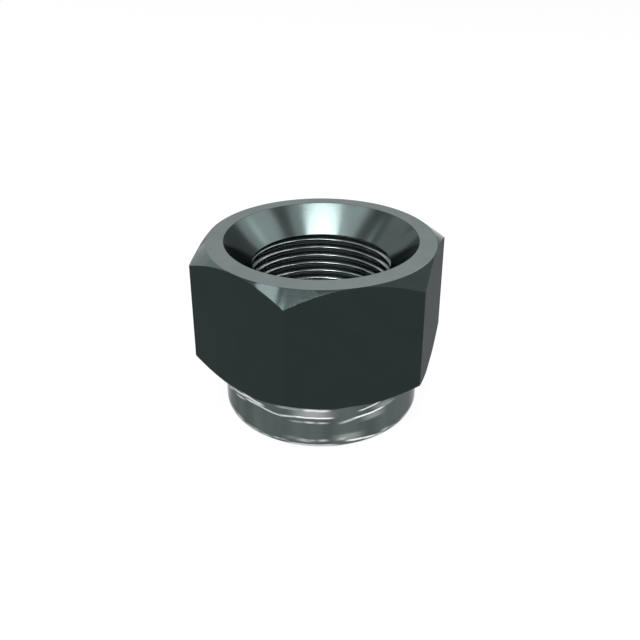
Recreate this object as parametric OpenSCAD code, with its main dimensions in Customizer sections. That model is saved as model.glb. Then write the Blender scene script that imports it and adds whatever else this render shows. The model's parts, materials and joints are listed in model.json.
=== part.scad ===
// Hexagon lock nut with a conical seat at one end and a rolled collar at the other.
// Millimetres. The collar's face lies on Z = 0 and the bore runs up the Z axis.
// The hexagon has two corners on the X axis and two flats square to the Y axis.

/* [Hexagon] */
// Width across the flats
across_flats = 31.75; // [31:0.05:36]
// Height over all, from the collar's face to the rim of the seat
overall_h = 25.4; // [20:0.1:36]
// Slope of the chamfers at both ends of the hexagon, from the end face's plane
chamfer_angle = 36.5; // [20:0.5:45]
// Diameter where the upper chamfer starts, as a share of the width across the flats
upper_chamfer_share = 0.999; // [0.95:0.001:1.02]
// Diameter where the lower chamfer starts, as a share of the width across the flats
lower_chamfer_share = 1.013; // [0.98:0.001:1.05]
// Slope of the end face, which falls outwards from the rim of the seat
face_angle = 4.2; // [0.5:0.1:8]

/* [Conical seat] */
// Diameter of the seat at its rim
seat_mouth_d = 26.82; // [22:0.02:28.5]
// Depth of the seat, from its rim to the thread
seat_depth = 3.48; // [2:0.02:5]

/* [Thread] */
// Minor diameter of the thread, which is the wall of the bore
thread_minor_d = 19.26; // [16:0.02:20.5]
// Depth of the lead-in chamfer at the collar's end of the bore
lead_in = 0.8; // [0.4:0.1:1.5]

/* [Collar] */
// Outer diameter of the collar
collar_d = 28; // [26:0.1:28.6]
// Height of the collar below the hexagon
collar_h = 7.94; // [5:0.02:12]
// Radius of the collar's wall where it is rolled inwards
roll_r = 1.7; // [1.5:0.1:4]
// Height at which the roll starts
roll_h = 1.4; // [0.8:0.1:1.5]
// Radius of the fillet between the collar and the hexagon
neck_fillet_r = 1.5; // [0.5:0.1:1.6]

/* [Hidden] */

$fn = 96;
overcut = 1;
hex_sides = 6;

hex_corner_r = across_flats / 2 / cos(180 / hex_sides);
blank_r = hex_corner_r + overcut;
hex_bottom_z = collar_h;
collar_r = collar_d / 2;
seat_mouth_r = seat_mouth_d / 2;
bore_r = thread_minor_d / 2;

upper_chamfer_r = upper_chamfer_share * across_flats / 2;
lower_chamfer_r = lower_chamfer_share * across_flats / 2;
face_edge_z = overall_h - (upper_chamfer_r - seat_mouth_r) * tan(face_angle);
upper_corner_z = face_edge_z - (blank_r - upper_chamfer_r) * tan(chamfer_angle);
lower_corner_z = hex_bottom_z + (blank_r - lower_chamfer_r) * tan(chamfer_angle);

seat_slope = (seat_mouth_r - bore_r) / seat_depth;
seat_bottom_z = overall_h - seat_depth;
seat_over_r = seat_mouth_r + overcut * seat_slope;
lead_in_r = bore_r + lead_in;

// Half section of the head before it is milled: the end face and both chamfers
module head_section() {
    polygon([
        [0, hex_bottom_z],
        [lower_chamfer_r, hex_bottom_z],
        [blank_r, lower_corner_z],
        [blank_r, upper_corner_z],
        [upper_chamfer_r, face_edge_z],
        [seat_mouth_r, overall_h],
        [0, overall_h]
    ]);
}

// What the roll takes off the collar's lower corner
module roll_relief() {
    translate([collar_r - roll_r, 0])
        difference() {
            translate([0, -overcut]) square([roll_r + overcut, roll_h + overcut]);
            translate([0, roll_h]) circle(roll_r);
        }
}

// What the fillet adds in the corner between the collar and the hexagon
module neck_fillet() {
    difference() {
        translate([collar_r - overcut, hex_bottom_z - neck_fillet_r])
            square([neck_fillet_r + overcut, neck_fillet_r + overcut]);
        translate([collar_r + neck_fillet_r, hex_bottom_z - neck_fillet_r]) circle(neck_fillet_r);
    }
}

module collar_section() {
    difference() {
        square([collar_r, hex_bottom_z + overcut]);
        roll_relief();
    }
    neck_fillet();
}

// Half section of the hole: lead-in, bore and conical seat
module bore_section() {
    polygon([
        [0, -overcut],
        [lead_in_r + overcut, -overcut],
        [lead_in_r, 0],
        [bore_r, lead_in],
        [bore_r, seat_bottom_z],
        [seat_over_r, overall_h + overcut],
        [0, overall_h + overcut]
    ]);
}

module turned_blank() {
    rotate_extrude() {
        head_section();
        collar_section();
    }
}

// Hexagonal bar stock that gives the blank its flats
module hexagon_bar() {
    translate([0, 0, -overcut])
        cylinder(h = overall_h + 2 * overcut, r = hex_corner_r, $fn = hex_sides);
}

module lock_nut() {
    color([0.16, 0.19, 0.19])
        difference() {
            intersection() {
                turned_blank();
                hexagon_bar();
            }
            rotate_extrude() bore_section();
        }
}

lock_nut();
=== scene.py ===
import json
import math

import bpy
from bpy.props import FloatProperty, FloatVectorProperty, IntProperty, PointerProperty
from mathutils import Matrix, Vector


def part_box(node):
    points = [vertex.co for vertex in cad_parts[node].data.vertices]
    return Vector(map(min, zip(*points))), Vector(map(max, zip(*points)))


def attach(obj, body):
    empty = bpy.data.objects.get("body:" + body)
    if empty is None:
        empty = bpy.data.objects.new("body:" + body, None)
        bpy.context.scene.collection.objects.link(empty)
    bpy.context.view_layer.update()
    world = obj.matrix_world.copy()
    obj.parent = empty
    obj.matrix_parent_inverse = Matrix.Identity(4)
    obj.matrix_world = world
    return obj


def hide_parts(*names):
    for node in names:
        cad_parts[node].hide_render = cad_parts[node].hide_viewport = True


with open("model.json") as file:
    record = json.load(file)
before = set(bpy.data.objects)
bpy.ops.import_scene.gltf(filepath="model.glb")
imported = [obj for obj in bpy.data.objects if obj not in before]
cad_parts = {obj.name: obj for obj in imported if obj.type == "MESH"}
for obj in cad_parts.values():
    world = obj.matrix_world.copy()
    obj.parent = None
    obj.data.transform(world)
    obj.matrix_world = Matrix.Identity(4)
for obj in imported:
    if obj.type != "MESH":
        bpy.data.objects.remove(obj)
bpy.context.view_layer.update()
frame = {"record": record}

bl_info = {
    "name": "Hex Lock Nut",
    "version": (1, 0, 0),
    "blender": (4, 5, 0),
    "location": "View3D > Sidebar > Lock Nut",
    "description": "Adds a hexagon lock nut with a conical seat, a cut thread and a rolled collar",
    "category": "Add Mesh",
}

MM = 0.001

# Modelling: how far the turned blank passes the hexagon's corners, the metal left inside the
# thread's crests for the thread to be cut from, the distance at which points are merged, and
# the steps of each arc
OVERCUT = 1 * MM
CORE_ALLOWANCE = 0.4 * MM
MERGE_DISTANCE = 0.0005 * MM
EDGE_STEPS = 3
THREAD_ROUNDING_STEPS = 4
ROLL_STEPS = 10
NECK_STEPS = 12
# Faces that meet at less than this angle are shaded as one, and large ones lead in that
SMOOTH_ANGLE = math.radians(28)
NORMAL_WEIGHT = 100

# A hexagon's sides, and the angle between the middle of a side and its corner
HEX_SIDES = 6
HALF_SIDE_ANGLE = math.pi / HEX_SIDES

# The thread's form: the slope of its flanks, half the flat of its root as a share of the
# pitch, and the turns that its core has below the nut and above the first crest
FLANK_ANGLE = math.radians(30)
HALF_ROOT_SHARE = 1 / 16
TURNS_BELOW_NUT = 2
TURNS_ABOVE_CREST = 6

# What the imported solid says: its upper box corner, and the sizes of its thread and seat
_, nut_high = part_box("lock_nut")
mounts = {mount["name"]: mount for mount in frame["record"]["mounts"]}
thread_mount = mounts["thread"]
seat_mount = mounts["conical_seat"]
packed_bore_d = 2 * thread_mount["dims"]["r_mm"] * MM
packed_seat_d = 2 * seat_mount["dims"]["r_mm"] * MM
packed_seat_depth = nut_high.z - thread_mount["pos_m"][2]


class NutSizes(bpy.types.PropertyGroup):
    """Sizes of the nut, in metres."""

    across_flats: FloatProperty(
        name="Across Flats", description="Width of the hexagon across its flats",
        default=2 * nut_high.y, unit="LENGTH")
    overall_height: FloatProperty(
        name="Overall Height", description="Height from the collar's face to the rim of the seat",
        default=nut_high.z, unit="LENGTH")
    chamfer_angle: FloatProperty(
        name="Chamfer Angle", description="Slope of both chamfers of the hexagon",
        default=math.radians(36.5), unit="ROTATION")
    upper_chamfer_share: FloatProperty(
        name="Upper Chamfer Share",
        description="Start of the upper chamfer, as a share of the width across flats",
        default=0.999)
    lower_chamfer_share: FloatProperty(
        name="Lower Chamfer Share",
        description="Start of the lower chamfer, as a share of the width across flats",
        default=1.013)
    face_angle: FloatProperty(
        name="Face Angle", description="Fall of the end face from the rim of the seat outwards",
        default=math.radians(4.2), unit="ROTATION")
    seat_diameter: FloatProperty(
        name="Seat Diameter", description="Diameter of the conical seat at its rim",
        default=packed_seat_d, unit="LENGTH")
    seat_depth: FloatProperty(
        name="Seat Depth", description="Depth of the conical seat down to the bore",
        default=packed_seat_depth, unit="LENGTH")
    bore_diameter: FloatProperty(
        name="Minor Diameter", description="Minor diameter of the thread",
        default=packed_bore_d, unit="LENGTH")
    thread_diameter: FloatProperty(
        name="Major Diameter", description="Major diameter of the thread",
        default=20.64 * MM, unit="LENGTH")
    thread_pitch: FloatProperty(
        name="Pitch", description="Distance between neighbouring turns of the thread",
        default=1.27 * MM, unit="LENGTH")
    first_crest_height: FloatProperty(
        name="First Crest Height",
        description="Height of the uppermost crest's top edge at the back of the bore",
        default=21.07 * MM, unit="LENGTH")
    crest_rounding: FloatProperty(
        name="Crest Rounding", description="Radius of the edges of the thread's crests",
        default=0.10 * MM, unit="LENGTH")
    root_rounding: FloatProperty(
        name="Root Rounding", description="Radius of the corners of the thread's roots",
        default=0.11 * MM, unit="LENGTH")
    relief_lip: FloatProperty(
        name="Relief Lip", description="Height of the plain lip between the seat and the thread relief",
        default=0.05 * MM, unit="LENGTH")
    relief_height: FloatProperty(
        name="Relief Height",
        description="Height of the groove in which the thread runs out below the seat",
        default=0.38 * MM, unit="LENGTH")
    relief_depth: FloatProperty(
        name="Relief Depth", description="Depth of that groove from the minor diameter",
        default=0.72 * MM, unit="LENGTH")
    lead_in: FloatProperty(
        name="Lead-in", description="Chamfer at the collar's end of the bore",
        default=0.8 * MM, unit="LENGTH")
    collar_diameter: FloatProperty(
        name="Collar Diameter", description="Outer diameter of the collar",
        default=28 * MM, unit="LENGTH")
    collar_height: FloatProperty(
        name="Collar Height", description="Height of the collar below the hexagon",
        default=7.94 * MM, unit="LENGTH")
    roll_radius: FloatProperty(
        name="Roll Radius", description="Radius of the collar's rolled lower edge",
        default=1.7 * MM, unit="LENGTH")
    roll_height: FloatProperty(
        name="Roll Height", description="Height at which the roll starts",
        default=1.4 * MM, unit="LENGTH")
    neck_fillet: FloatProperty(
        name="Neck Fillet", description="Radius of the fillet between the collar and the hexagon",
        default=1.5 * MM, unit="LENGTH")
    edge_rounding: FloatProperty(
        name="Edge Rounding", description="Radius of the broken edges of the turned faces",
        default=0.1 * MM, unit="LENGTH")
    turn_steps: IntProperty(
        name="Turn Steps", description="Sides of each turned surface, in one turn",
        default=192)


class NutFinish(bpy.types.PropertyGroup):
    """Colours and polish of the nut's surfaces."""

    flat_color: FloatVectorProperty(
        name="Flat Colour", description="Colour of the blackened flats",
        default=(0.022, 0.031, 0.031), size=3, subtype="COLOR")
    flat_roughness: FloatProperty(
        name="Flat Roughness", description="Roughness of the blackened flats",
        default=0.55)
    # The end face's much lighter colour than the flats' is painted light: the brightness of a level
    # face lit from above, given to its colour
    face_color: FloatVectorProperty(
        name="Face Colour", description="Colour of the turned end face",
        default=(0.206, 0.247, 0.243), size=3, subtype="COLOR")
    face_roughness: FloatProperty(
        name="Face Roughness", description="Roughness of the turned end face",
        default=0.13)
    chamfer_color: FloatVectorProperty(
        name="Chamfer Colour", description="Colour of the turned chamfers",
        default=(0.041, 0.054, 0.053), size=3, subtype="COLOR")
    chamfer_roughness: FloatProperty(
        name="Chamfer Roughness", description="Roughness of the turned chamfers",
        default=0.10)
    seat_color: FloatVectorProperty(
        name="Seat Colour", description="Colour of the conical seat",
        default=(0.034, 0.044, 0.043), size=3, subtype="COLOR")
    seat_roughness: FloatProperty(
        name="Seat Roughness", description="Roughness of the conical seat",
        default=0.17)
    thread_color: FloatVectorProperty(
        name="Thread Colour", description="Colour of the cut thread",
        default=(0.160, 0.187, 0.183), size=3, subtype="COLOR")
    thread_roughness: FloatProperty(
        name="Thread Roughness", description="Roughness of the cut thread",
        default=0.20)
    collar_color: FloatVectorProperty(
        name="Collar Colour", description="Colour of the burnished collar",
        default=(0.084, 0.107, 0.103), size=3, subtype="COLOR")
    collar_roughness: FloatProperty(
        name="Collar Roughness", description="Roughness of the burnished collar",
        default=0.10)
    # Near-white colour of the highlights and reflections painted on the collar
    painted_highlight_color: FloatVectorProperty(
        name="Painted Highlight Colour", description="Colour of the highlights painted on the collar",
        default=(0.95, 0.97, 0.96), size=3, subtype="COLOR")


class StageSettings(bpy.types.PropertyGroup):
    """Where the camera stands, and how bright the studio is."""

    camera_azimuth: FloatProperty(
        name="Camera Azimuth", description="Direction in which the camera stands, from -Y towards +X",
        default=math.radians(-15.52), unit="ROTATION")
    camera_distance: FloatProperty(
        name="Camera Distance", description="Level distance from the nut's axis to the camera",
        default=109.44 * MM, unit="LENGTH")
    camera_height: FloatProperty(
        name="Camera Height", description="Height of the camera above the floor",
        default=71.54 * MM, unit="LENGTH")
    camera_pitch: FloatProperty(
        name="Camera Pitch", description="Angle by which the camera looks down",
        default=math.radians(28.316), unit="ROTATION")
    camera_turn: FloatProperty(
        name="Camera Turn", description="Angle by which the camera looks to the left of the nut's axis",
        default=math.radians(0.097), unit="ROTATION")
    lens: FloatProperty(
        name="Lens", description="Focal length in millimetres on a 36 mm sensor",
        default=48.53)
    floor_whiteness: FloatProperty(
        name="Floor Whiteness", description="Share of pure white in the floor as the camera sees it",
        default=0.93)
    ambient_strength: FloatProperty(
        name="Ambient Strength", description="Strength of the light that the surroundings give",
        default=0.35)
    floor_half_width: FloatProperty(
        name="Floor Half Width", description="Half the width of the floor",
        default=3.0, unit="LENGTH")


class Signal:
    """A socket of a material, so that Python's arithmetic adds its Math nodes."""

    def __init__(self, shader, socket):
        self.shader = shader
        self.socket = socket

    def maths(self, operation, *values):
        settings = {"operation": operation}
        return self.shader.node("ShaderNodeMath", settings, dict(enumerate(values)))

    def __add__(self, other):
        return self.maths("ADD", self, other)

    def __radd__(self, other):
        return self.maths("ADD", other, self)

    def __sub__(self, other):
        return self.maths("SUBTRACT", self, other)

    def __rsub__(self, other):
        return self.maths("SUBTRACT", other, self)

    def __mul__(self, other):
        return self.maths("MULTIPLY", self, other)

    def __rmul__(self, other):
        return self.maths("MULTIPLY", other, self)

    def __truediv__(self, other):
        return self.maths("DIVIDE", self, other)

    def __pow__(self, other):
        return self.maths("POWER", self, other)

    def __abs__(self):
        return self.maths("ABSOLUTE", self)

    def __mod__(self, other):
        return self.maths("FLOORED_MODULO", self, other)


# The colour sockets of a Mix node, which has sockets of the same names for other data
MIX_FIRST_COLOR = 6
MIX_SECOND_COLOR = 7
MIX_COLOR_RESULT = 2


class Shader:
    """A material's node tree, with a Principled surface and helpers for its patterns."""

    def __init__(self, name):
        self.material = bpy.data.materials.new(name)
        self.material.use_nodes = True
        self.tree = self.material.node_tree
        self.surface = self.tree.nodes["Principled BSDF"]

    def node(self, kind, settings=None, values=None, output=0):
        made = self.tree.nodes.new(kind)
        for name, value in (settings or {}).items():
            setattr(made, name, value)
        for socket, value in (values or {}).items():
            if isinstance(value, Signal):
                self.tree.links.new(value.socket, made.inputs[socket])
            else:
                made.inputs[socket].default_value = value
        return Signal(self, made.outputs[output])

    def place(self):
        """The point being shaded, in metres from the nut's origin."""
        return self.node("ShaderNodeTexCoord", output="Object")

    def axes(self, place):
        split = self.node("ShaderNodeSeparateXYZ", values={0: place})
        outputs = split.socket.node.outputs
        return [Signal(self, socket) for socket in outputs]

    def noise(self, vector, scale, detail=2.0):
        """Noise between 0 and 1, with its scale in waves to the metre."""
        values = {"Vector": vector, "Scale": scale, "Detail": detail}
        return self.node("ShaderNodeTexNoise", values=values)

    def vector(self, x, y, z):
        return self.node("ShaderNodeCombineXYZ", values={0: x, 1: y, 2: z})

    def angle(self, x, y):
        """The angle of a direction, in degrees from the Y axis towards the X axis."""
        radians = self.node("ShaderNodeMath", {"operation": "ARCTAN2"}, {0: x, 1: y})
        return radians * math.degrees(1.0)

    def step(self, value, start, end, shape="SMOOTHSTEP"):
        """A rise from 0 at start to 1 at end."""
        settings = {"interpolation_type": shape}
        values = {"Value": value, "From Min": start, "From Max": end}
        return self.node("ShaderNodeMapRange", settings, values)

    def mix(self, factor, first, second):
        """A colour between first and second."""
        settings = {"data_type": "RGBA", "clamp_factor": True}
        made = self.node("ShaderNodeMix", settings, {0: factor})
        mix_node = made.socket.node
        for index, color in ((MIX_FIRST_COLOR, first), (MIX_SECOND_COLOR, second)):
            socket = mix_node.inputs[index]
            if isinstance(color, Signal):
                self.tree.links.new(color.socket, socket)
            else:
                socket.default_value = (*color, 1.0)
        return Signal(self, mix_node.outputs[MIX_COLOR_RESULT])

    def bump(self, height, strength, distance):
        values = {"Strength": strength, "Distance": distance, "Height": height}
        return self.node("ShaderNodeBump", values=values)

    def set(self, **inputs):
        """Sets or links the Principled surface's own sockets."""
        for name, value in inputs.items():
            socket = self.surface.inputs[name.replace("_", " ")]
            if isinstance(value, Signal):
                self.tree.links.new(value.socket, socket)
            elif socket.type == "RGBA" and len(value) == 3:
                socket.default_value = (*value, 1.0)
            else:
                socket.default_value = value


def shade(color, share):
    """The colour made lighter or darker by a share."""
    return tuple(channel * share for channel in color)


# Noise scales of the steel, in waves to the metre: its soft mottling, its grain and the
# marks that the tool left, and the share of the marks' scale that they have along the flats,
# where they are drawn out level
MOTTLE_SCALE = 260.0
GRAIN_SCALE = 5200.0
MARK_SCALE = 9000.0
FLAT_MARK_STRETCH = 0.04
# How far the steel's colour, and its roughness by mottling and by marks, go from the middle
TONE_SPREAD = 0.05
MOTTLE_ROUGHNESS = 0.04
MARK_ROUGHNESS = 0.05
# Depth of the marks and the grain, and how strongly it shows
MARK_DEPTH = 0.01 * MM
MARK_STRENGTH = 0.10


def dark_steel(name, color, roughness, edge_share, mark_direction):
    """Dark steel, with mottling and the fine marks that its tool left."""
    shader = Shader(name)
    place = shader.place()
    x, y, z = shader.axes(place)
    radius = (x * x + y * y) ** 0.5
    mottle = shader.noise(place, MOTTLE_SCALE, 3.0)
    grain = shader.noise(place, GRAIN_SCALE)
    if mark_direction == "rings":
        along = shader.vector(radius, z, 0.0)
    else:
        along = shader.vector(x * FLAT_MARK_STRETCH, y * FLAT_MARK_STRETCH, z)
    marks = shader.noise(along, MARK_SCALE, 1.0)
    tone = shader.step(mottle * 0.7 + grain * 0.3, 0.30, 0.70)
    shader.set(
        Base_Color=shader.mix(tone, shade(color, 1 - TONE_SPREAD), shade(color, 1 + TONE_SPREAD)),
        Roughness=roughness + (mottle - 0.5) * MOTTLE_ROUGHNESS + (marks - 0.5) * MARK_ROUGHNESS,
        Metallic=1.0,
        Specular_Tint=(edge_share, edge_share, edge_share),
        Normal=shader.bump(marks + grain * 0.5, MARK_STRENGTH, MARK_DEPTH),
    )
    return shader.material


# Highlights and reflections painted on the collar as bright streaks: the angle and height where
# the streak starts and where it ends, its half thickness and its strength. Angles are in degrees
# to the right of the camera's side, and the rest is in millimetres. The back half repeats the front
# half.
COLLAR_PAINTED_HIGHLIGHTS = (
    # The upper ring, close below the hexagon, and the glow under it
    (-25, 6.20, -10, 6.34, 0.20, 0.22),
    (-10, 6.30, 4, 6.30, 0.20, 0.75),
    (22, 5.72, 34, 6.15, 0.13, 0.75),
    (30, 5.55, 42, 5.80, 0.30, 0.14),
    (-13, 5.75, 4, 5.75, 0.75, 0.28),
    # The middle ring, and the streak that rises to the right of it
    (-24, 4.92, -14, 5.10, 0.14, 0.60),
    (-15, 5.14, 6, 5.14, 0.13, 1.00),
    (11, 4.22, 19, 4.65, 0.20, 0.45),
    (18, 4.68, 37, 5.10, 0.14, 1.00),
    (34, 5.25, 45, 5.50, 0.25, 0.20),
    (25, 4.30, 36, 4.45, 0.50, 0.20),
    # The broken ring below the middle one
    (-17, 4.34, -9, 4.38, 0.16, 0.22),
    (-9, 4.38, -4, 4.38, 0.15, 0.60),
    (-2, 4.38, 3, 4.38, 0.15, 0.48),
    # The streaks that rise to the right on the left side
    (-70, 4.30, -62, 5.05, 0.22, 0.50),
    (-62, 5.10, -44, 5.85, 0.18, 0.62),
    (-58, 4.70, -50, 4.95, 0.16, 0.50),
    (-48, 5.30, -35, 5.32, 0.18, 0.55),
    (-50, 5.80, -35, 5.62, 0.16, 0.70),
    (-38, 5.28, -23, 4.82, 0.13, 0.55),
    # The lowest rim
    (-19, 0.42, 8, 0.50, 0.30, 0.70),
    (10, 0.15, 44, 0.25, 0.22, 0.60),
    # Patches above the rim, in the middle
    (-20, 1.62, -14, 1.62, 0.30, 0.10),
    (-13, 1.45, -6, 1.35, 0.28, 0.32),
    (-6, 1.48, -4, 1.48, 0.15, 0.50),
    (-1, 1.50, 3, 1.50, 0.20, 0.50),
    # The line that falls to the right on the foot, and the glow above it
    (9, 1.80, 22, 1.85, 0.55, 0.20),
    (10, 1.62, 14, 1.62, 0.28, 0.50),
    (15, 1.15, 25, 1.02, 0.20, 0.92),
    (24, 0.98, 33, 0.80, 0.22, 0.92),
    (33, 0.70, 38, 0.60, 0.30, 0.65),
    (38, 1.12, 41, 1.12, 0.26, 0.62),
    # The foot on the left side
    (-27, 0.94, -25, 0.94, 0.16, 0.80),
    (-24, 0.92, -20, 0.92, 0.22, 0.30),
    (-36, 0.70, -31, 0.65, 0.32, 0.50),
    (-50, 0.85, -38, 0.85, 0.32, 0.33),
    (-58, 1.20, -53, 1.05, 0.40, 0.60),
    (-92, 1.28, -60, 1.20, 0.32, 0.50),
    # The foot on the far right
    (43, 0.95, 52, 0.65, 0.30, 0.28),
    (54, 1.00, 92, 1.28, 0.30, 0.45),
)
# Each end of a streak fades over this many degrees, and this many more for each millimetre
# of its half thickness
STREAK_END = 1.5
END_PER_HALF_WIDTH = 8.0
# Where the fade across a streak starts and ends, in half thicknesses from its middle
STREAK_CORE = 0.4
STREAK_RIM = 1.3
# How far the streaks waver, in millimetres, and the waves to the metre
WAVER = 0.16
WAVER_SCALE = 900.0
# The collar's upright shading: its scale, the share of that scale along the nut's axis, and how
# far it changes the colour and the roughness
UPRIGHT_SCALE = 230.0
UPRIGHT_STRETCH = 0.08
UPRIGHT_TONE = 0.20
UPRIGHT_ROUGHNESS = 0.04
# How much of the collar's colour is left where it is seen at a grazing angle
COLLAR_EDGE_SHARE = 0.6


def streak(shader, angle, height, course):
    """A mask of one streak, which fades at its edges and its ends."""
    first_angle, first_height, last_angle, last_height, half_width, strength = course
    along = shader.step(angle, first_angle, last_angle, "LINEAR")
    middle = first_height + along * (last_height - first_height)
    off_middle = abs(height - middle)
    band = 1.0 - shader.step(off_middle, half_width * STREAK_CORE, half_width * STREAK_RIM)
    fade = STREAK_END + END_PER_HALF_WIDTH * half_width
    begun = shader.step(angle, first_angle - fade, first_angle + fade)
    ended = shader.step(angle, last_angle - fade, last_angle + fade)
    return band * begun * (1.0 - ended) * strength


def collar_with_painted_highlights(finish, camera_azimuth):
    """The collar: dark and glossy, with highlights and reflections painted on it as bright streaks."""
    shader = Shader("collar_with_painted_highlights")
    place = shader.place()
    x, y, z = shader.axes(place)
    # The painted highlights are placed by their angle from the camera's side
    turn = shader.angle(x, 0.0 - y) - math.degrees(camera_azimuth)
    angle = (turn + 90.0) % 180.0 - 90.0
    waves = shader.noise(place, WAVER_SCALE)
    height = z / MM + (waves - 0.5) * WAVER
    masks = [streak(shader, angle, height, course) for course in COLLAR_PAINTED_HIGHLIGHTS]
    streaks = masks[0]
    for mask in masks[1:]:
        streaks = streaks.maths("MAXIMUM", streaks, mask)
    upright = shader.noise(shader.vector(x, y, z * UPRIGHT_STRETCH), UPRIGHT_SCALE)
    tone = shader.step(upright, 0.3, 0.7)
    darker = shade(finish.collar_color, 1 - UPRIGHT_TONE)
    lighter = shade(finish.collar_color, 1 + UPRIGHT_TONE)
    # The streaks mix in the near-white colour: painted highlights on the dark collar
    shader.set(
        Base_Color=shader.mix(streaks, shader.mix(tone, darker, lighter), finish.painted_highlight_color),
        Roughness=finish.collar_roughness + (upright - 0.5) * UPRIGHT_ROUGHNESS,
        Metallic=1.0,
        Specular_Tint=(COLLAR_EDGE_SHARE, COLLAR_EDGE_SHARE, COLLAR_EDGE_SHARE),
    )
    return shader.material


def deselect_all():
    if bpy.context.object and bpy.context.object.mode != "OBJECT":
        bpy.ops.object.mode_set(mode="OBJECT")
    bpy.ops.object.select_all(action="DESELECT")


def make_active(piece):
    deselect_all()
    piece.select_set(True)
    bpy.context.view_layer.objects.active = piece


def arc_points(centre, radius, start, end, steps):
    """Points of an arc in the section plane, from one angle in degrees to another."""
    points = []
    for step in range(steps + 1):
        angle = math.radians(start + (end - start) * step / steps)
        points.append((centre[0] + radius * math.cos(angle), centre[1] + radius * math.sin(angle)))
    return points


def rounded(corners, steps):
    """The outline through corners of (radius, height, rounding), with its corners made arcs."""
    outline = []
    for index, (x, z, rounding) in enumerate(corners):
        here = Vector((x, z))
        if not rounding or index in (0, len(corners) - 1):
            outline.append((x, z))
            continue
        before = (Vector(corners[index - 1][:2]) - here).normalized()
        after = (Vector(corners[index + 1][:2]) - here).normalized()
        half_angle = before.angle(after) / 2
        reach = rounding / math.tan(half_angle)
        centre = here + (before + after).normalized() * (rounding / math.sin(half_angle))
        first = here + before * reach - centre
        second = here + after * reach - centre
        start = math.atan2(first.y, first.x)
        turn = math.remainder(math.atan2(second.y, second.x) - start, 2 * math.pi)
        outline += arc_points(centre, rounding, math.degrees(start), math.degrees(start + turn), steps)
    return outline


def draw_section(name, outline):
    """A new object with the outline drawn in the XZ plane, one extruded vertex after another."""
    deselect_all()
    bpy.ops.mesh.primitive_plane_add(size=MM)
    piece = bpy.context.object
    piece.name = name
    piece.data.name = name
    bpy.ops.object.mode_set(mode="EDIT")
    bpy.ops.mesh.select_mode(type="VERT")
    bpy.ops.mesh.select_all(action="SELECT")
    bpy.ops.mesh.merge(type="CENTER")
    x, z = outline[0]
    bpy.ops.transform.translate(value=(x, 0, z))
    for next_x, next_z in outline[1:]:
        step = (next_x - x, 0, next_z - z)
        bpy.ops.mesh.extrude_region_move(TRANSFORM_OT_translate={"value": step})
        x, z = next_x, next_z
    bpy.ops.object.mode_set(mode="OBJECT")
    return piece


def spin_section(piece, steps):
    """Spins a drawn section once round the Z axis and closes it."""
    make_active(piece)
    bpy.ops.object.mode_set(mode="EDIT")
    bpy.ops.mesh.select_all(action="SELECT")
    bpy.ops.mesh.spin(steps=steps, angle=2 * math.pi, center=(0, 0, 0), axis=(0, 0, 1))
    bpy.ops.mesh.select_all(action="SELECT")
    bpy.ops.mesh.remove_doubles(threshold=MERGE_DISTANCE)
    bpy.ops.mesh.normals_make_consistent(inside=False)
    bpy.ops.object.mode_set(mode="OBJECT")


def select_edges(piece, wanted):
    """Enters edit mode with only those edges selected whose two end points pass the test."""
    make_active(piece)
    bpy.ops.object.mode_set(mode="EDIT")
    bpy.ops.mesh.select_mode(type="EDGE")
    bpy.ops.mesh.select_all(action="DESELECT")
    bpy.ops.object.mode_set(mode="OBJECT")
    points = piece.data.vertices
    for edge in piece.data.edges:
        first, second = (points[index].co for index in edge.vertices)
        edge.select = wanted(first, second)
    bpy.ops.object.mode_set(mode="EDIT")


def apply_modifier(piece, kind, **settings):
    """Adds a modifier with its settings and applies it."""
    make_active(piece)
    modifier = piece.modifiers.new(kind.title(), kind)
    for name, value in settings.items():
        setattr(modifier, name, value)
    bpy.ops.object.modifier_apply(modifier=modifier.name)


def cut(piece, operation, tool):
    """Applies a Boolean with the tool, and deletes the tool."""
    apply_modifier(piece, "BOOLEAN", operation=operation, object=tool, solver="EXACT")
    bpy.data.objects.remove(tool, do_unlink=True)


def turned_blank(sizes):
    """The nut before milling and threading, spun from its half section."""
    rounding = sizes.edge_rounding
    apothem = sizes.across_flats / 2
    beyond = apothem / math.cos(HALF_SIDE_ANGLE) + OVERCUT
    slope = math.tan(sizes.chamfer_angle)
    top = sizes.overall_height
    seat_r = sizes.seat_diameter / 2
    bore_r = sizes.bore_diameter / 2
    core_r = bore_r - CORE_ALLOWANCE
    seat_foot = top - sizes.seat_depth
    relief_top = seat_foot - sizes.relief_lip
    relief_low = relief_top - sizes.relief_height
    relief_r = bore_r + sizes.relief_depth
    upper_r = apothem * sizes.upper_chamfer_share
    lower_r = apothem * sizes.lower_chamfer_share
    face_edge = top - (upper_r - seat_r) * math.tan(sizes.face_angle)
    under = sizes.collar_height
    collar_r = sizes.collar_diameter / 2
    roll_centre = (collar_r - sizes.roll_radius, sizes.roll_height)
    roll_start = math.degrees(math.asin(sizes.roll_height / sizes.roll_radius))
    neck_centre = (collar_r + sizes.neck_fillet, under - sizes.neck_fillet)
    lead_r = bore_r + sizes.lead_in
    inner = rounded([
        (core_r, relief_low, 0),
        (core_r, sizes.lead_in + (bore_r - core_r), 0),
        (lead_r, 0, rounding),
        (roll_centre[0], 0, 0),
    ], EDGE_STEPS)
    roll = arc_points(roll_centre, sizes.roll_radius, -roll_start, 0, ROLL_STEPS)
    neck = arc_points(neck_centre, sizes.neck_fillet, 180, 90, NECK_STEPS)
    outer = rounded([
        (*neck[-1], 0),
        (lower_r, under, rounding),
        (beyond, under + (beyond - lower_r) * slope, 0),
        (beyond, face_edge - (beyond - upper_r) * slope, 0),
        (upper_r, face_edge, rounding),
        (seat_r, top, rounding),
        (bore_r, seat_foot, 0),
        (bore_r, relief_top, 0),
        (relief_r, relief_top, 0),
        (relief_r, relief_low, 0),
        (core_r, relief_low, 0),
    ], EDGE_STEPS)
    blank = draw_section("lock_nut_body", inner[:-1] + roll + neck + outer[1:])
    spin_section(blank, sizes.turn_steps)
    return blank


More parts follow.
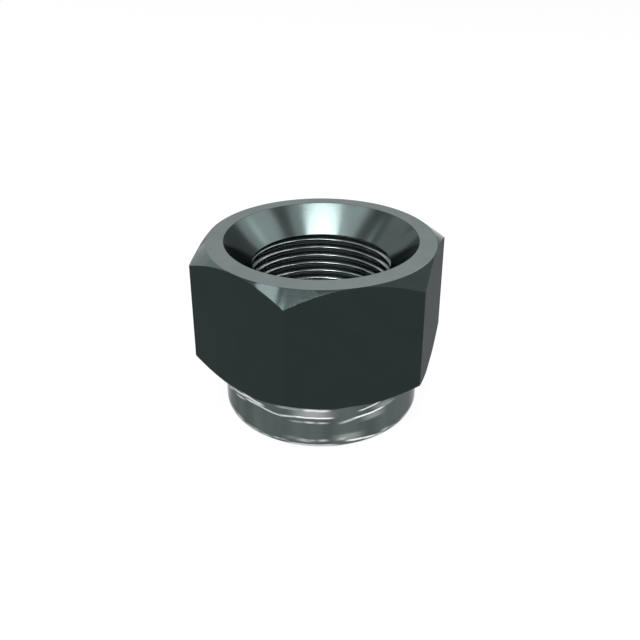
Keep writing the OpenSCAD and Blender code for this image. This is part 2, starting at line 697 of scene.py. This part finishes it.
def hexagon_bar(sizes):
    """The hexagonal bar that gives the blank its flats, with its long edges broken."""
    corner = sizes.across_flats / 2 / math.cos(HALF_SIDE_ANGLE)
    deselect_all()
    bpy.ops.mesh.primitive_cylinder_add(
        vertices=HEX_SIDES, radius=corner, depth=3 * sizes.overall_height,
        location=(0, 0, sizes.overall_height / 2), rotation=(0, 0, HALF_SIDE_ANGLE))
    bar = bpy.context.object
    bpy.ops.object.transform_apply(location=True, rotation=True, scale=True)
    select_edges(bar, lambda first, second: abs(first.z - second.z) > sizes.overall_height)
    bpy.ops.mesh.bevel(offset=sizes.edge_rounding, segments=EDGE_STEPS, affect="EDGES")
    bpy.ops.object.mode_set(mode="OBJECT")
    return bar


def thread_core(sizes):
    """The hole's threaded core, like a bolt: one pitch of the thread's section, screwed upwards."""
    pitch = sizes.thread_pitch
    crest_r = sizes.bore_diameter / 2
    root_r = sizes.thread_diameter / 2
    middle = pitch / 2
    root_half = pitch * HALF_ROOT_SHARE
    crest_half = middle - root_half - (root_r - crest_r) * math.tan(FLANK_ANGLE)
    outline = rounded([
        (crest_r, 0, 0),
        (crest_r, crest_half, sizes.crest_rounding),
        (root_r, middle - root_half, sizes.root_rounding),
        (root_r, middle + root_half, sizes.root_rounding),
        (crest_r, pitch - crest_half, sizes.crest_rounding),
        (crest_r, pitch, 0),
    ], THREAD_ROUNDING_STEPS)
    core = draw_section("thread_core", outline)
    back = math.pi / 2 + bpy.context.scene.nut_stage.camera_azimuth
    crest_low_edge = sizes.first_crest_height - crest_half - back / (2 * math.pi) * pitch
    turns_below = math.ceil(crest_low_edge / pitch + TURNS_BELOW_NUT)
    turns = turns_below + TURNS_ABOVE_CREST
    core.location.z = crest_low_edge - turns_below * pitch
    bpy.ops.object.transform_apply(location=True, rotation=True, scale=True)
    apply_modifier(
        core, "SCREW", angle=2 * math.pi, screw_offset=pitch, iterations=turns,
        steps=sizes.turn_steps, render_steps=sizes.turn_steps,
        use_merge_vertices=True, merge_threshold=MERGE_DISTANCE)
    bpy.ops.object.mode_set(mode="EDIT")
    bpy.ops.mesh.select_all(action="SELECT")
    bpy.ops.mesh.remove_doubles(threshold=MERGE_DISTANCE)
    middle_z = sizes.overall_height / 2
    for is_top in (False, True):
        bpy.ops.mesh.select_mode(type="EDGE")
        bpy.ops.mesh.select_all(action="DESELECT")
        bpy.ops.mesh.select_non_manifold(extend=False)
        bpy.ops.object.mode_set(mode="OBJECT")
        for edge in core.data.edges:
            above = core.data.vertices[edge.vertices[0]].co.z > middle_z
            edge.select = edge.select and above == is_top
        bpy.ops.object.mode_set(mode="EDIT")
        bpy.ops.mesh.extrude_edges_move()
        bpy.ops.mesh.merge(type="CENTER")
    bpy.ops.mesh.select_all(action="SELECT")
    bpy.ops.mesh.normals_make_consistent(inside=False)
    relief_middle = (
        sizes.overall_height - sizes.seat_depth - sizes.relief_lip - sizes.relief_height / 2)
    bpy.ops.mesh.bisect(
        plane_co=(0, 0, relief_middle), plane_no=(0, 0, 1), use_fill=True, clear_outer=True)
    bpy.ops.object.mode_set(mode="OBJECT")
    return core


# How zone_of tells the nut's faces apart: how near the seat's faces lie to its cone and to its
# foot, how far the thread's zone passes the bore's surfaces, how far below the hexagon the
# collar's zone ends, and the upward parts of the normals of the seat, the end faces and the
# chamfers
SEAT_REACH = 0.03 * MM
SEAT_FOOT_REACH = 1 * MM
BORE_REACH = 0.02 * MM
THREAD_START = 0.05 * MM
THREAD_END_REACH = 0.01 * MM
NECK_REACH = 0.001 * MM
SEAT_UPWARD = 0.5
LEVEL_UPWARD = 0.95
CHAMFER_UPWARD = 0.2


def zone_of(face, sizes):
    """Which finish a face takes, told from its place and its normal."""
    centre = face.center
    upward = face.normal.z
    radius = math.hypot(centre.x, centre.y)
    seat_r = sizes.seat_diameter / 2
    bore_r = sizes.bore_diameter / 2
    collar_r = sizes.collar_diameter / 2
    seat_foot = sizes.overall_height - sizes.seat_depth
    seat_line = bore_r + (centre.z - seat_foot) * (seat_r - bore_r) / sizes.seat_depth
    on_cone = abs(radius - seat_line) < SEAT_REACH and centre.z > seat_foot - SEAT_FOOT_REACH
    if on_cone and upward > SEAT_UPWARD:
        return "seat"
    in_bore = radius < bore_r + sizes.relief_depth + BORE_REACH
    if in_bore and THREAD_START < centre.z < seat_foot + THREAD_END_REACH:
        return "thread"
    below_hexagon = centre.z < sizes.collar_height - NECK_REACH
    if below_hexagon and radius > collar_r - sizes.roll_radius:
        return "collar"
    if abs(upward) > LEVEL_UPWARD:
        return "face"
    if abs(upward) > CHAMFER_UPWARD:
        return "chamfer"
    return "flats"


# The steel finishes: the zone, the material's name, the word that its settings start with, how
# much of its colour is left where it is seen at a grazing angle, and the form of its tool marks
STEEL_FINISHES = (
    ("flats", "blackened_flats", "flat", 0.7, "lines"),
    # The end face's lighter colour is painted light from above
    ("face", "turned_end_face", "face", 0.6, "rings"),
    ("chamfer", "turned_chamfers", "chamfer", 0.65, "rings"),
    ("seat", "conical_seat", "seat", 0.5, "rings"),
    ("thread", "cut_thread", "thread", 0.1, "rings"),
)


def nut_materials(finish, camera_azimuth):
    """The nut's materials, by the zones that they cover."""
    materials = {}
    for zone, name, setting, edge_share, mark_direction in STEEL_FINISHES:
        color = getattr(finish, setting + "_color")
        roughness = getattr(finish, setting + "_roughness")
        materials[zone] = dark_steel(name, color, roughness, edge_share, mark_direction)
    materials["collar"] = collar_with_painted_highlights(finish, camera_azimuth)
    return materials


def finish_zones(piece, sizes, materials):
    """Gives each face the material of its zone."""
    names = list(materials)
    for material in materials.values():
        piece.data.materials.append(material)
    for face in piece.data.polygons:
        face.material_index = names.index(zone_of(face, sizes))


class LOCKNUT_OT_add_nut(bpy.types.Operator):
    """Turn, mill and thread the lock nut"""

    bl_idname = "locknut.add_nut"
    bl_label = "Add Lock Nut"
    bl_options = {"REGISTER", "UNDO"}

    def execute(self, context):
        sizes = context.scene.nut_sizes
        nut = turned_blank(sizes)
        cut(nut, "INTERSECT", hexagon_bar(sizes))
        cut(nut, "DIFFERENCE", thread_core(sizes))
        materials = nut_materials(context.scene.nut_finish, context.scene.nut_stage.camera_azimuth)
        finish_zones(nut, sizes, materials)
        make_active(nut)
        bpy.ops.object.shade_smooth_by_angle(angle=SMOOTH_ANGLE)
        apply_modifier(nut, "WEIGHTED_NORMAL", keep_sharp=True, weight=NORMAL_WEIGHT)
        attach(nut, "root")
        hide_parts("lock_nut")
        return {"FINISHED"}


def camera_side_direction(stage, azimuth, elevation):
    """A direction by its azimuth to the right of the camera's side and its elevation, in degrees."""
    angle = stage.camera_azimuth + math.radians(azimuth)
    rise = math.radians(elevation)
    level = math.cos(rise)
    return Vector((math.sin(angle) * level, -math.cos(angle) * level, math.sin(rise)))


# Softboxes round the nut: the name, the point that it faces, its azimuth to the right of the
# camera's side and its elevation in degrees, its width and height in metres, and its radiance
SOFTBOXES = (
    ("overhead_softbox", "mouth", -2, 72.6, 0.28, 0.054, 45),
    ("overhead_left_softbox", "mouth", -57, 66.5, 0.07, 0.05, 7),
    ("overhead_right_softbox", "mouth", 60, 66, 0.10, 0.08, 3.3),
    ("left_softbox", "mouth", -80, 62.5, 0.20, 0.076, 5.6),
    ("left_fade_softbox", "mouth", -64, 73, 0.085, 0.06, 0.6),
    ("low_left_softbox", "mouth", -100, 40, 0.12, 0.12, 5),
    ("back_left_softbox", "mouth", -142, 13, 0.25, 0.17, 1.7),
    ("high_back_left_softbox", "mouth", -131, 34, 0.17, 0.20, 1.4),
    ("seat_softbox_high", "left_wall", 111, 44, 0.025, 0.025, 4.6),
    ("seat_softbox_low", "left_wall", 126, 33, 0.019, 0.019, 3.2),
    ("camera_left_softbox", "mouth", -17, 50, 0.13, 0.08, 60),
    ("camera_right_softbox", "mouth", 70, 46, 0.17, 0.08, 26),
)
# How far the softboxes stand from the seat's mouth, and the small ones from its left wall
MOUTH_DISTANCE = 0.5
LEFT_WALL_DISTANCE = 0.07
# How far below the rim the point lies that stands for the mouth, and where the left wall is
MOUTH_DEPTH = 2.4 * MM
LEFT_WALL_AZIMUTH = -115

# The camera's sensor in millimetres and its clipping distances, and the floor's plain grey
SENSOR_WIDTH = 36
CLIP_START = 5 * MM
CLIP_END = 10
FLOOR_GREY = 0.82


def add_softbox(name, aim, away, distance, width, height, radiance):
    """An area lamp that faces a point of the nut and looks equally bright from any distance."""
    lamp = bpy.data.lights.new(name, "AREA")
    lamp.shape = "RECTANGLE"
    lamp.size = width
    lamp.size_y = height
    lamp.energy = radiance * math.pi * width * height
    holder = bpy.data.objects.new(name, lamp)
    bpy.context.collection.objects.link(holder)
    holder.location = aim + away * distance
    holder.rotation_mode = "QUATERNION"
    holder.rotation_quaternion = away.to_track_quat("Z", "Y")
    holder.visible_camera = False


class LOCKNUT_OT_add_stage(bpy.types.Operator):
    """Set up the floor, the soft lamps, the pale surroundings and the camera"""

    bl_idname = "locknut.add_stage"
    bl_label = "Add Studio"
    bl_options = {"REGISTER", "UNDO"}

    def execute(self, context):
        stage = context.scene.nut_stage
        add_floor(stage)
        add_surroundings(context.scene, stage)
        add_lamps(stage, context.scene.nut_sizes)
        add_camera(context.scene, stage)
        context.scene.view_settings.view_transform = "Standard"
        return {"FINISHED"}


def background_rays(tree):
    """A value that is 1 where the camera sees the background, also in metal or through glass."""
    rays = tree.nodes.new("ShaderNodeLightPath")
    seen = rays.outputs["Is Camera Ray"]
    for name in ("Is Glossy Ray", "Is Transmission Ray"):
        either = tree.nodes.new("ShaderNodeMath")
        either.operation = "MAXIMUM"
        tree.links.new(seen, either.inputs[0])
        tree.links.new(rays.outputs[name], either.inputs[1])
        seen = either.outputs[0]
    return seen


def add_floor(stage):
    """A pale floor, which the camera sees as nearly white and which keeps the nut's shadow."""
    deselect_all()
    bpy.ops.mesh.primitive_plane_add(size=2 * stage.floor_half_width)
    floor = bpy.context.object
    floor.name = "floor"
    material = bpy.data.materials.new("pale_floor")
    material.use_nodes = True
    tree = material.node_tree
    tree.nodes.clear()
    output = tree.nodes.new("ShaderNodeOutputMaterial")
    plain = tree.nodes.new("ShaderNodeBsdfDiffuse")
    plain.inputs["Color"].default_value = (FLOOR_GREY, FLOOR_GREY, FLOOR_GREY, 1)
    white = tree.nodes.new("ShaderNodeEmission")
    blend = tree.nodes.new("ShaderNodeMixShader")
    share = tree.nodes.new("ShaderNodeMath")
    share.operation = "MULTIPLY"
    share.inputs[1].default_value = stage.floor_whiteness
    tree.links.new(background_rays(tree), share.inputs[0])
    tree.links.new(share.outputs[0], blend.inputs[0])
    tree.links.new(plain.outputs[0], blend.inputs[1])
    tree.links.new(white.outputs[0], blend.inputs[2])
    tree.links.new(blend.outputs[0], output.inputs["Surface"])
    floor.data.materials.append(material)


def add_surroundings(scene, stage):
    """White surroundings, which light the nut more weakly than they look."""
    world = bpy.data.worlds.new("pale_studio")
    scene.world = world
    world.use_nodes = True
    tree = world.node_tree
    background = tree.nodes["Background"]
    background.inputs["Color"].default_value = (1, 1, 1, 1)
    strength = tree.nodes.new("ShaderNodeMapRange")
    strength.inputs["To Min"].default_value = stage.ambient_strength
    strength.inputs["To Max"].default_value = 1.0
    tree.links.new(background_rays(tree), strength.inputs["Value"])
    tree.links.new(strength.outputs[0], background.inputs["Strength"])


def add_lamps(stage, sizes):
    """Softboxes round the nut, and two small ones close to the left wall of its seat."""
    mouth = Vector((0, 0, sizes.overall_height - MOUTH_DEPTH))
    seat_middle_r = (sizes.seat_diameter + sizes.bore_diameter) / 4
    left_wall = camera_side_direction(stage, LEFT_WALL_AZIMUTH, 0) * seat_middle_r
    left_wall.z = sizes.overall_height - sizes.seat_depth / 2
    aims = {"mouth": (mouth, MOUTH_DISTANCE), "left_wall": (left_wall, LEFT_WALL_DISTANCE)}
    for name, faced, azimuth, elevation, width, height, radiance in SOFTBOXES:
        aim, distance = aims[faced]
        away = camera_side_direction(stage, azimuth, elevation)
        add_softbox(name, aim, away, distance, width, height, radiance)


def add_camera(scene, stage):
    """The camera, which looks down on the seat from the front."""
    camera = bpy.data.objects.new("camera", bpy.data.cameras.new("camera"))
    scene.collection.objects.link(camera)
    side = stage.camera_azimuth
    camera.location = (
        math.sin(side) * stage.camera_distance,
        -math.cos(side) * stage.camera_distance,
        stage.camera_height)
    camera.rotation_euler = (math.pi / 2 - stage.camera_pitch, 0, side + stage.camera_turn)
    camera.data.lens = stage.lens
    camera.data.sensor_width = SENSOR_WIDTH
    camera.data.clip_start = CLIP_START
    camera.data.clip_end = CLIP_END
    scene.camera = camera


class LOCKNUT_PT_panel(bpy.types.Panel):
    """Lists the nut's sizes and its two operators"""

    bl_label = "Lock Nut"
    bl_idname = "LOCKNUT_PT_panel"
    bl_space_type = "VIEW_3D"
    bl_region_type = "UI"
    bl_category = "Lock Nut"

    def draw(self, context):
        layout = self.layout
        for settings in (context.scene.nut_sizes, context.scene.nut_finish, context.scene.nut_stage):
            box = layout.box()
            for name in settings.__annotations__:
                box.prop(settings, name)
        layout.operator(LOCKNUT_OT_add_nut.bl_idname)
        layout.operator(LOCKNUT_OT_add_stage.bl_idname)


CLASSES = (
    NutSizes,
    NutFinish,
    StageSettings,
    LOCKNUT_OT_add_nut,
    LOCKNUT_OT_add_stage,
    LOCKNUT_PT_panel,
)


def register():
    for cls in CLASSES:
        bpy.utils.register_class(cls)
    bpy.types.Scene.nut_sizes = PointerProperty(type=NutSizes)
    bpy.types.Scene.nut_finish = PointerProperty(type=NutFinish)
    bpy.types.Scene.nut_stage = PointerProperty(type=StageSettings)


def unregister():
    del bpy.types.Scene.nut_stage
    del bpy.types.Scene.nut_finish
    del bpy.types.Scene.nut_sizes
    for cls in reversed(CLASSES):
        bpy.utils.unregister_class(cls)


def main():
    register()
    bpy.ops.locknut.add_nut()
    bpy.ops.locknut.add_stage()


if __name__ == "__main__":
    main()
